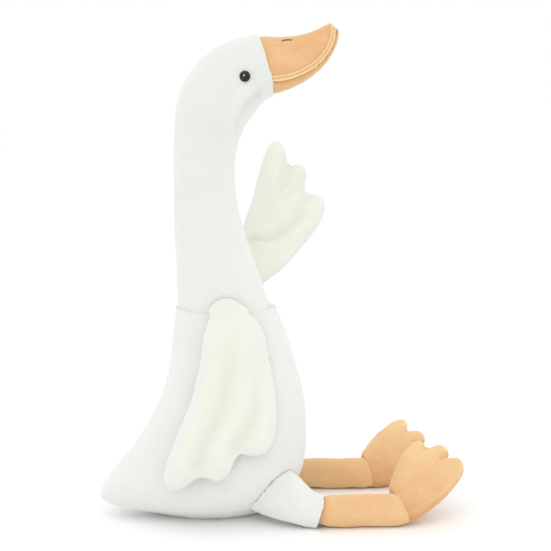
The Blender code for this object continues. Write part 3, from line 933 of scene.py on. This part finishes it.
class GOOSE_OT_wings(bpy.types.Operator):
    """Makes the two wings: flat stuffed forms with soft channels down to their feather ends."""

    bl_idname = "goose.wings"
    bl_label = "Wings"

    CELL = 0.0026
    LUMPS = ((0.030, 0.0012, 13.0),)
    # How squarely the cloth faces out where the seam round the rim no longer holds it
    HELD = 0.7
    # How much of the turn to the rim the cream takes to fade out
    FADE = 0.45
    # How far the hanging wing is pressed flat at its shoulder, from what height, over what span
    SHOULDER_PRESS = 0.72
    SHOULDER_START = 0.186
    SHOULDER_SPAN = 0.040
    # Ridges and channels of the hanging wing, as (ahead, up) points from the shoulder down
    RIDGES = (
        ((-0.008, 0.226), (-0.009, 0.187), (-0.016, 0.153), (-0.027, 0.122), (-0.044, 0.076)),
        ((0.022, 0.190), (0.024, 0.150), (0.012, 0.122), (-0.010, 0.088)),
        ((0.040, 0.160), (0.041, 0.125), (0.036, 0.095)),
    )
    CHANNELS = (
        ((0.006, 0.188), (0.003, 0.150), (-0.008, 0.115), (-0.027, 0.076)),
        ((0.032, 0.170), (0.030, 0.130), (0.020, 0.108), (0.010, 0.093)),
    )
    # The same on the raised wing, seen from the goose's right
    RAISED_CREASE = (
        (0.045, 0.270),
        (0.065, 0.269),
        (0.079, 0.276),
        (0.091, 0.284),
        (0.100, 0.293),
    )
    RAISED_RIDGE = ((0.058, 0.261), (0.073, 0.263), (0.088, 0.270), (0.102, 0.280))
    RAISED_CHANNELS = (
        ((0.088, 0.292), (0.098, 0.302), (0.108, 0.311)),
        ((0.076, 0.312), (0.086, 0.329), (0.094, 0.345)),
    )
    # How much painted light makes the pile of the raised wing paler, as it leans toward the light
    RAISED_PAINTED_LIGHT = 0.9
    # How strong its folds are on its right face and on its left face
    RAISED_FACES = ((-1.0, 1.0), (1.0, 0.5))

    def press_shoulder(self, piece):
        """Presses the top of the hanging wing flat on the body, where it is sewn down."""
        trees = [surface_of("body"), surface_of("neck_and_head")]
        points = points_of(piece)
        above = points[:, 2] - self.SHOULDER_START
        press = self.SHOULDER_PRESS * freedom(above, self.SHOULDER_SPAN)
        for index in np.nonzero(press > 0.01)[0]:
            spot = Vector(points[index])
            near = min((tree.find_nearest(spot) for tree in trees), key=lambda found: found[3])[0]
            points[index] += (np.array(near) - points[index]) * press[index]
        put_points(piece, points)

    def shape_hanging(self, piece):
        """Lays the near wing on the body and draws its feathers, with painted shade in its channels
        and painted light on its ridges.
        """
        self.press_shoulder(piece)
        relax(piece, 4)
        side = SIDES["right"]
        for line in self.RIDGES:
            fold(piece, line, side, width=0.0075, depth=-0.0016, start=0.3, end=1.0)
        for line in self.CHANNELS:
            fold(piece, line, side, width=0.0065, depth=0.0020, start=0.2, end=1.0)

    def shape_raised(self, piece):
        """Paints light over the far wing, folds it where it stands up with painted shade and light
        on its folds, and draws its feathers.
        """
        shade(piece, np.full(len(piece.data.vertices), self.RAISED_PAINTED_LIGHT))
        for face, share in self.RAISED_FACES:
            fold(piece, self.RAISED_CREASE, face, width=0.0062, depth=0.0040 * share, end=0.6)
            fold(piece, self.RAISED_RIDGE, face, width=0.0075, depth=-0.0024 * share)
            for line in self.RAISED_CHANNELS:
                fold(piece, line, face, width=0.0055, depth=0.0026 * share, start=0.3)

    def execute(self, context):
        settings = plush_settings()
        for side, shape in (("right", self.shape_hanging), ("left", self.shape_raised)):
            node = "wing_" + side
            piece = skin_of(node, node + "_plush", self.CELL)
            relax(piece, 6)
            stuff(piece, freedom(facing(piece), self.HELD), travel=0.0025)
            relax(piece, 2)
            refine(piece)
            shape(piece)
            fade_rim(piece, self.FADE)
            lumps(piece, self.LUMPS)
            grow_pile(piece, settings.pile, settings.grain)
            finish_skin(piece, node, cream_plush())
        return {"FINISHED"}


def sew_line(name, line, length, pitch, thick, surface):
    """A row of stitches along a line, as one piece of thread."""
    shape = bmesh.new()
    corners = [Vector(corner) for corner in line]
    size = Matrix.Diagonal((length / 2, thick / 2, thick / 2, 1.0))
    walked = 0.0
    due = pitch / 2
    for near, far in zip(corners, corners[1:]):
        span = (far - near).length
        turn = (far - near).to_track_quat("X", "Z").to_matrix().to_4x4()
        while due < walked + span:
            place = Matrix.Translation(near.lerp(far, (due - walked) / span)) @ turn @ size
            bmesh.ops.create_uvsphere(shape, u_segments=8, v_segments=6, radius=1.0, matrix=place)
            due += pitch
        walked += span
    mesh = bpy.data.meshes.new(name)
    shape.to_mesh(mesh)
    shape.free()
    mesh.shade_smooth()
    mesh.materials.append(surface)
    made = collect(bpy.data.objects.new(name, mesh))
    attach(made, "root")
    return made


class GOOSE_OT_bill(bpy.types.Operator):
    """Makes the two halves of the bill, with a stitched lip and the nostrils."""

    bl_idname = "goose.bill"
    bl_label = "Bill"

    CELL = 0.0013
    # How far from the mouth and from the face the velvet keeps to its solid
    HELD = 0.003
    # The two ridges of the lip, by how far from the mouth, and the groove between them
    LIP_RIDGES = (0.0015, 0.0041)
    LIP_GROOVE = sum(LIP_RIDGES) / 2
    # How far the ridges stand out, how wide they are, and how much painted light makes them paler
    LIP_RISE = 0.0010
    LIP_ROUND = 0.0010
    LIP_PAINTED_LIGHT = 1.1
    # That groove and the one at the lip's end: how far from the mouth, how wide and how strong
    GROOVES = ((LIP_GROOVE, 0.0006, 1.0), (0.0062, 0.0009, 0.7))
    # How far the grooves are drawn in, and how much painted shade darkens them
    GROOVE_DEPTH = 0.0004
    GROOVE_PAINTED_SHADE = 0.55
    # How far the lower bill is drawn in under the lip, and over what height
    TUCK = 0.0008
    TUCK_HEIGHT = 0.0024
    # Where the lip turns round, ahead of the goose's origin, and how many degrees to each side
    LIP_CENTRE = 0.060
    LIP_TURN = 110.0
    # How far apart the stitches of the lip are, as a share of their length, and their thickness
    STITCH_PITCH = 1.35
    STITCH_THICK = 0.0007
    # Nostril slit, as (ahead, up) on the side view
    NOSTRIL = ((0.0655, 0.4738), (0.0700, 0.4750), (0.0748, 0.4746))

    def lip_line(self, piece, gap, offset):
        """The line round the lip at one distance from its edge, from one cheek to the other."""
        points = points_of(piece)
        band = points[np.abs(gap - offset) < 0.0005]
        turn = np.arctan2(band[:, 1], band[:, 0] - self.LIP_CENTRE)
        line = []
        for step in np.radians(np.linspace(-self.LIP_TURN, self.LIP_TURN, 34)):
            near = band[np.abs(turn - step) < math.radians(4.0)]
            if len(near):
                line.append(near.mean(axis=0))
        return smooth_line(line, 2)

    def raise_lip(self, piece, gap):
        """Lifts the two ridges of the lip with painted light on them, and draws in the grooves
        beside them with painted shade.
        """
        for middle in self.LIP_RIDGES:
            ridge = bell(gap - middle, self.LIP_ROUND)
            push(piece, self.LIP_RISE * ridge)
            # Painted light on the ridge
            shade(piece, self.LIP_PAINTED_LIGHT * ridge)
        groove = sum(share * bell(gap - middle, width) for middle, width, share in self.GROOVES)
        push(piece, -self.GROOVE_DEPTH * groove)
        # Painted shade in the grooves
        shade(piece, -self.GROOVE_PAINTED_SHADE * groove)

    def stitch_lip(self, piece, gap, stitch):
        """Sews the topstitching in the groove of the lip."""
        row = sew_line(
            "bill_topstitch",
            self.lip_line(piece, gap, self.LIP_GROOVE),
            length=stitch,
            pitch=stitch * self.STITCH_PITCH,
            thick=self.STITCH_THICK,
            surface=thread("lip_thread", (0.83, 0.58, 0.36)),
        )

    def sew_nostril(self, piece, side):
        """Draws one nostril in with painted shade in the slit, and lays its dark thread there."""
        fold(piece, self.NOSTRIL, SIDES[side], width=0.0010, depth=0.0010)
        row = sew_line(
            "nostril_" + side,
            from_side(piece, self.NOSTRIL, SIDES[side]),
            length=0.0034,
            pitch=0.0021,
            thick=0.0009,
            surface=thread("nostril_thread", (0.10, 0.055, 0.03)),
        )

    def tuck_under(self, piece, gap):
        """Draws the lower half in under the lip, and paints shade over it, darkest up under the
        lip.
        """
        tuck = bell(gap, self.TUCK_HEIGHT)
        push(piece, -self.TUCK * tuck)
        # Painted shade over the lower half, strongest under the lip
        shade(piece, -0.25 - 0.4 * tuck)

    def execute(self, context):
        settings = velvet_settings()
        for node, other in (("bill_upper", "bill_lower"), ("bill_lower", "bill_upper")):
            piece = skin_of(node, node + "_velvet", self.CELL)
            free = freedom(reach_to(piece, other, "neck_and_head"), self.HELD)
            relax(piece, 6)
            hold(piece, node, free, self.CELL)
            refine(piece)
            crisp(piece, node, reach_to(piece, other, "neck_and_head"), self.CELL)
            gap = reach_to(piece, other)
            if node == "bill_upper":
                self.raise_lip(piece, gap)
                self.stitch_lip(piece, gap, settings.stitch)
                for side in SIDES:
                    self.sew_nostril(piece, side)
                meet(piece, node, other, reach=0.004, fall=0.0010)
            else:
                self.tuck_under(piece, gap)
            grow_pile(piece, settings.nap, NAP_GRAIN, fall=1.0)
            finish_skin(piece, node, tan_velvet())
        return {"FINISHED"}


class GOOSE_OT_eyes(bpy.types.Operator):
    """Makes the two domed button eyes, and gives their hidden washers a finish."""

    bl_idname = "goose.eyes"
    bl_label = "Eyes"

    RADIUS = 0.0053
    # Height of the dome as a share of its radius, and how far the button sits in from the tip
    DOME = 0.80
    SINK = 0.0043
    # How far out the eye looks, against how far its tip leans
    OUTLOOK = 0.03
    # Colours of the button and of its washer
    BLACK = (0.005, 0.005, 0.006)
    MILKY = (0.70, 0.70, 0.67)

    def button(self, node, sign):
        """One domed button, turned the way that the post of the eye stands out of the head."""
        low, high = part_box(node)
        middle = (low + high) / 2
        outer = [v.co for v in NODES[node].data.vertices if (v.co.y - middle.y) * sign > 0]
        tip = max(outer, key=lambda co: co.y * sign)
        way = Vector((tip.x - middle.x, sign * self.OUTLOOK, tip.z - middle.z)).normalized()
        turn = way.to_track_quat("Z", "Y").to_matrix().to_4x4()
        seat = Vector((middle.x, tip.y, middle.z)) - way * self.SINK
        place = Matrix.Translation(seat) @ turn
        shape = bmesh.new()
        bmesh.ops.create_uvsphere(shape, u_segments=48, v_segments=24, radius=self.RADIUS)
        bmesh.ops.scale(shape, vec=(1.0, 1.0, self.DOME), verts=shape.verts)
        bmesh.ops.transform(shape, matrix=place, verts=shape.verts)
        mesh = bpy.data.meshes.new(node + "_button")
        shape.to_mesh(mesh)
        shape.free()
        mesh.shade_smooth()
        return collect(bpy.data.objects.new(node + "_button", mesh))

    def execute(self, context):
        for side, sign in SIDES.items():
            node = "eye_" + side
            piece = self.button(node, sign)
            piece.data.materials.append(gloss("eye_gloss", self.BLACK))
            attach(piece, "root")
            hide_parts(node)
            washer = NODES["eye_washer_" + side]
            washer.data.materials.clear()
            washer.data.materials.append(gloss("washer_plastic_moulded", self.MILKY))
        return {"FINISHED"}


class GOOSE_OT_thighs(bpy.types.Operator):
    """Makes the two short white thighs, gathered where the legs are sewn on."""

    bl_idname = "goose.thighs"
    bl_label = "Thighs"

    CELL = 0.0022
    # How far from the leg and from the body the filling is held back
    HELD = 0.005
    LUMPS = ((0.022, 0.0009, 19.0),)
    # How far the hem swells, how far up that reaches, and how far the hem laps over the leg
    HEM_SWELL = 0.0008
    HEM_REACH = 0.004
    HEM_LAP = 0.0009

    def execute(self, context):
        settings = plush_settings()
        for side in SIDES:
            node = "thigh_" + side
            leg = "leg_" + side
            ends = [flat_end(node, leg)]
            piece = skin_of(node, node + "_plush", self.CELL, ends)
            free = freedom(reach_to(piece, leg, "body"), self.HELD)
            relax(piece, 6)
            stuff(piece, free, travel=0.002)
            relax(piece, 2, free)
            refine(piece)
            lumps(piece, self.LUMPS)
            crisp(piece, node, reach_to(piece, "body"), self.CELL)
            trim(piece, ends)
            push(piece, self.HEM_SWELL * bell(reach_to(piece, leg), self.HEM_REACH))
            meet(piece, node, "body", reach=0.003, fall=0.0030, share=1.1, rim=False)
            aim = (box_middle(leg) - box_middle(node)).normalized()
            skirt(piece, node, leg, aim * self.HEM_LAP)
            grow_pile(piece, settings.pile, settings.grain)
            finish_skin(piece, node, white_plush())
        return {"FINISHED"}


class GOOSE_OT_legs_and_feet(bpy.types.Operator):
    """Makes the velvet legs and the webbed feet."""

    bl_idname = "goose.legs_and_feet"
    bl_label = "Legs and feet"

    CELL = 0.0017
    # How far from its neighbours the velvet keeps to its solid
    HELD = 0.004
    LUMPS = ((0.020, 0.0008, 23.0), (0.008, 0.0003, 29.0))
    # How much paler the nap of the leg is all along it, and the painted shade at the sole and the
    # painted light at the top of the foot
    LEG_TONE = 0.22
    FOOT_PAINTED_SHADING = (-0.85, 0.75)
    # Groove between two toes, from the notch back, as shares of the foot's length and half width
    TOE_GROOVE = ((0.92, 0.39), (0.80, 0.32), (0.66, 0.27))
    GROOVE_WIDTH = 0.0030
    GROOVE_DEPTH = 0.0030

    def draw_toes(self, piece, side):
        """Draws the foot in between its toes, with painted shade in the grooves."""
        middle, long, across, _ = flat_axes(piece)
        if (np.array(box_middle("leg_" + side)) - middle) @ long > 0:
            long = -long
        spots = points_of(piece) - middle
        down = spots @ long
        wide = spots @ across
        start = down.min()
        length = down.max() - start
        half = np.abs(wide).max()
        flat = np.stack([down - start, wide, np.zeros(len(down))], axis=1)
        for sign in SIDES.values():
            line = [
                (share * length, sign * aside * half, 0.0) for share, aside in self.TOE_GROOVE
            ]
            gap, along = line_reach(flat, smooth_line(line, 2))
            groove = (1.0 - 0.8 * along) * bell(gap, self.GROOVE_WIDTH)
            push(piece, -self.GROOVE_DEPTH * groove)
            # Painted shade in the grooves between the toes
            shade(piece, -0.5 * groove)

    def shape_foot(self, piece, side):
        """Draws the toes and the seam round them, and paints the foot with painted light at its top
        going over to painted shade at its sole.
        """
        self.draw_toes(piece, side)
        rim_seam(piece, depth=0.0006, width=0.10)
        low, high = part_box("foot_" + side)
        share = (points_of(piece)[:, 2] - low.z) / (high.z - low.z)
        # Painted light on the top of the foot, going over to painted shade at the sole
        sole, top = self.FOOT_PAINTED_SHADING
        shade(piece, sole + (top - sole) * share)

    def execute(self, context):
        settings = velvet_settings()
        for side in SIDES:
            for part, neighbours in (("leg_", ("thigh_", "foot_")), ("foot_", ("leg_",))):
                node = part + side
                around = [name + side for name in neighbours]
                piece = skin_of(node, node + "_velvet", self.CELL)
                free = freedom(reach_to(piece, *around), self.HELD)
                relax(piece, 6)
                hold(piece, node, free, self.CELL)
                refine(piece)
                lumps(piece, self.LUMPS)
                if part == "foot_":
                    self.shape_foot(piece, side)
                else:
                    shade(piece, np.full(len(piece.data.vertices), self.LEG_TONE))
                crisp(piece, node, reach_to(piece, *around), self.CELL)
                grow_pile(piece, settings.nap, NAP_GRAIN, fall=1.0)
                finish_skin(piece, node, tan_velvet())
        return {"FINISHED"}


# Studio


def aim_at(made, place, target):
    """Puts a lamp or a camera at a place and turns it to a target."""
    made.location = place
    made.rotation_euler = (target - Vector(place)).to_track_quat("-Z", "Y").to_euler()
    return made


def sun(name, strength, angle, place):
    """A broad soft lamp that shines from a place to the goose's origin."""
    lamp = bpy.data.lights.new(name, "SUN")
    lamp.energy = strength
    lamp.angle = math.radians(angle)
    return aim_at(collect(bpy.data.objects.new(name, lamp)), place, Vector())


def catch_lamp(name, power, size, place, eyes):
    """A lamp that only the eyes mirror, as a small highlight."""
    lamp = bpy.data.lights.new(name, "AREA")
    lamp.shape = "DISK"
    lamp.energy = power
    lamp.size = size
    target = sum((eye.data.vertices[0].co for eye in eyes.objects), Vector()) / len(eyes.objects)
    made = aim_at(collect(bpy.data.objects.new(name, lamp)), place, target)
    made.light_linking.receiver_collection = eyes
    return made


class GOOSE_OT_studio(bpy.types.Operator):
    """Makes the floor, the white room, the lamps and the camera."""

    bl_idname = "goose.studio"
    bl_label = "Studio"

    # Half the width of the floor
    FLOOR_HALF = 6.0
    # Tint of the light that the white room gives
    DAYLIGHT = (0.985, 0.995, 1.0, 1.0)
    # Broad lamps: the setting of each, its width in degrees and its place
    SUNS = (("key", 60.0, (-0.35, -1.2, 1.9)), ("fill", 90.0, (1.5, -0.9, 0.4)))
    # Lamps for the eyes alone: share of their power, width and place
    CATCH_LAMPS = (
        ("catch_lamp_high", 1.0, 0.75, (-0.50, -1.5, 0.90)),
        ("catch_lamp_low", 0.25, 0.50, (0.35, -1.4, -0.25)),
        ("catch_lamp_far", 1.0, 0.75, (-0.50, 1.5, 0.90)),
    )
    # Where the camera looks, and the way from there to the camera
    TARGET = Vector((0.0605, 0.0, 0.243))
    AZIMUTH = math.radians(-8.0)
    ELEVATION = math.radians(9.0)
    # Width of the camera's sensor, and its focal length in widths of the picture
    SENSOR = 36.0
    REACH = 1300.0 / 551.0

    def lay_floor(self, colour):
        """Lays the plain floor."""
        mesh = bpy.data.meshes.new("studio_floor")
        shape = bmesh.new()
        bmesh.ops.create_grid(shape, x_segments=8, y_segments=8, size=self.FLOOR_HALF)
        shape.to_mesh(mesh)
        shape.free()
        mesh.materials.append(paper("studio_floor_paper", colour))
        collect(bpy.data.objects.new("studio_floor", mesh))

    def light_room(self, strength):
        """Lights the goose evenly from all sides, and shows the camera a white room."""
        world = bpy.data.worlds.new("white_room")
        bpy.context.scene.world = world
        world.use_nodes = True
        nodes = world.node_tree.nodes
        links = world.node_tree.links
        seen = nodes["Background"]
        seen.inputs["Strength"].default_value = 1.0
        seen.inputs["Color"].default_value = (1.0, 1.0, 1.0, 1.0)
        room = nodes.new("ShaderNodeBackground")
        room.inputs["Color"].default_value = self.DAYLIGHT
        room.inputs["Strength"].default_value = strength
        path = nodes.new("ShaderNodeLightPath")
        either = nodes.new("ShaderNodeMath")
        either.operation = "MAXIMUM"
        links.new(path.outputs["Is Camera Ray"], either.inputs[0])
        links.new(path.outputs["Is Transmission Ray"], either.inputs[1])
        mix = nodes.new("ShaderNodeMixShader")
        links.new(either.outputs["Value"], mix.inputs["Fac"])
        links.new(room.outputs["Background"], mix.inputs[1])
        links.new(seen.outputs["Background"], mix.inputs[2])
        links.new(mix.outputs["Shader"], nodes["World Output"].inputs["Surface"])

    def set_camera(self, distance):
        """Sets the camera at the photograph's viewing angle."""
        level = math.cos(self.ELEVATION)
        ahead = level * math.sin(self.AZIMUTH)
        aside = -level * math.cos(self.AZIMUTH)
        way = Vector((ahead, aside, math.sin(self.ELEVATION)))
        lens = bpy.data.cameras.new("camera")
        lens.sensor_width = self.SENSOR
        lens.lens = self.SENSOR * self.REACH
        camera = collect(bpy.data.objects.new("camera", lens))
        aim_at(camera, self.TARGET + way * distance, self.TARGET)
        bpy.context.scene.camera = camera

    def execute(self, context):
        settings = context.scene.goose_studio
        self.lay_floor(settings.floor)
        self.light_room(settings.sky)
        for name, angle, place in self.SUNS:
            sun(name + "_lamp", getattr(settings, name), angle, place)
        eyes = bpy.data.collections.new("mirrors_of_the_catch_lamps")
        for side in SIDES:
            eyes.objects.link(bpy.data.objects["eye_" + side + "_button"])
        for name, share, size, place in self.CATCH_LAMPS:
            catch_lamp(name, settings.catch * share, size, place, eyes)
        self.set_camera(settings.distance)
        context.scene.view_settings.view_transform = "Standard"
        return {"FINISHED"}


class GOOSE_PT_panel(bpy.types.Panel):
    """Lists the pieces of the goose and their settings."""

    bl_idname = "GOOSE_PT_panel"
    bl_label = "Stuffed goose"
    bl_space_type = "VIEW_3D"
    bl_region_type = "UI"
    bl_category = "Goose"

    def draw(self, context):
        for settings in ("goose_plush", "goose_velvet", "goose_studio"):
            box = self.layout.box()
            holder = getattr(context.scene, settings)
            for entry in holder.__annotations__:
                box.prop(holder, entry)
        for operator in OPERATORS:
            self.layout.operator(operator.bl_idname)


OPERATORS = (
    GOOSE_OT_body,
    GOOSE_OT_neck_and_head,
    GOOSE_OT_wings,
    GOOSE_OT_bill,
    GOOSE_OT_eyes,
    GOOSE_OT_thighs,
    GOOSE_OT_legs_and_feet,
    GOOSE_OT_studio,
)
SETTINGS = {
    "goose_plush": GoosePlush,
    "goose_velvet": GooseVelvet,
    "goose_studio": GooseStudio,
}


def register():
    """Adds the settings, the operators and the panel."""
    for name, group in SETTINGS.items():
        bpy.utils.register_class(group)
        setattr(bpy.types.Scene, name, bpy.props.PointerProperty(type=group))
    for entry in (*OPERATORS, GOOSE_PT_panel):
        bpy.utils.register_class(entry)


def unregister():
    """Removes what register added."""
    for entry in reversed((*OPERATORS, GOOSE_PT_panel)):
        bpy.utils.unregister_class(entry)
    for name, group in SETTINGS.items():
        delattr(bpy.types.Scene, name)
        bpy.utils.unregister_class(group)


def main():
    """Builds the whole goose and its studio."""
    register()
    bpy.ops.goose.body()
    bpy.ops.goose.neck_and_head()
    bpy.ops.goose.wings()
    bpy.ops.goose.bill()
    bpy.ops.goose.eyes()
    bpy.ops.goose.thighs()
    bpy.ops.goose.legs_and_feet()
    bpy.ops.goose.studio()


if __name__ == "__main__":
    main()
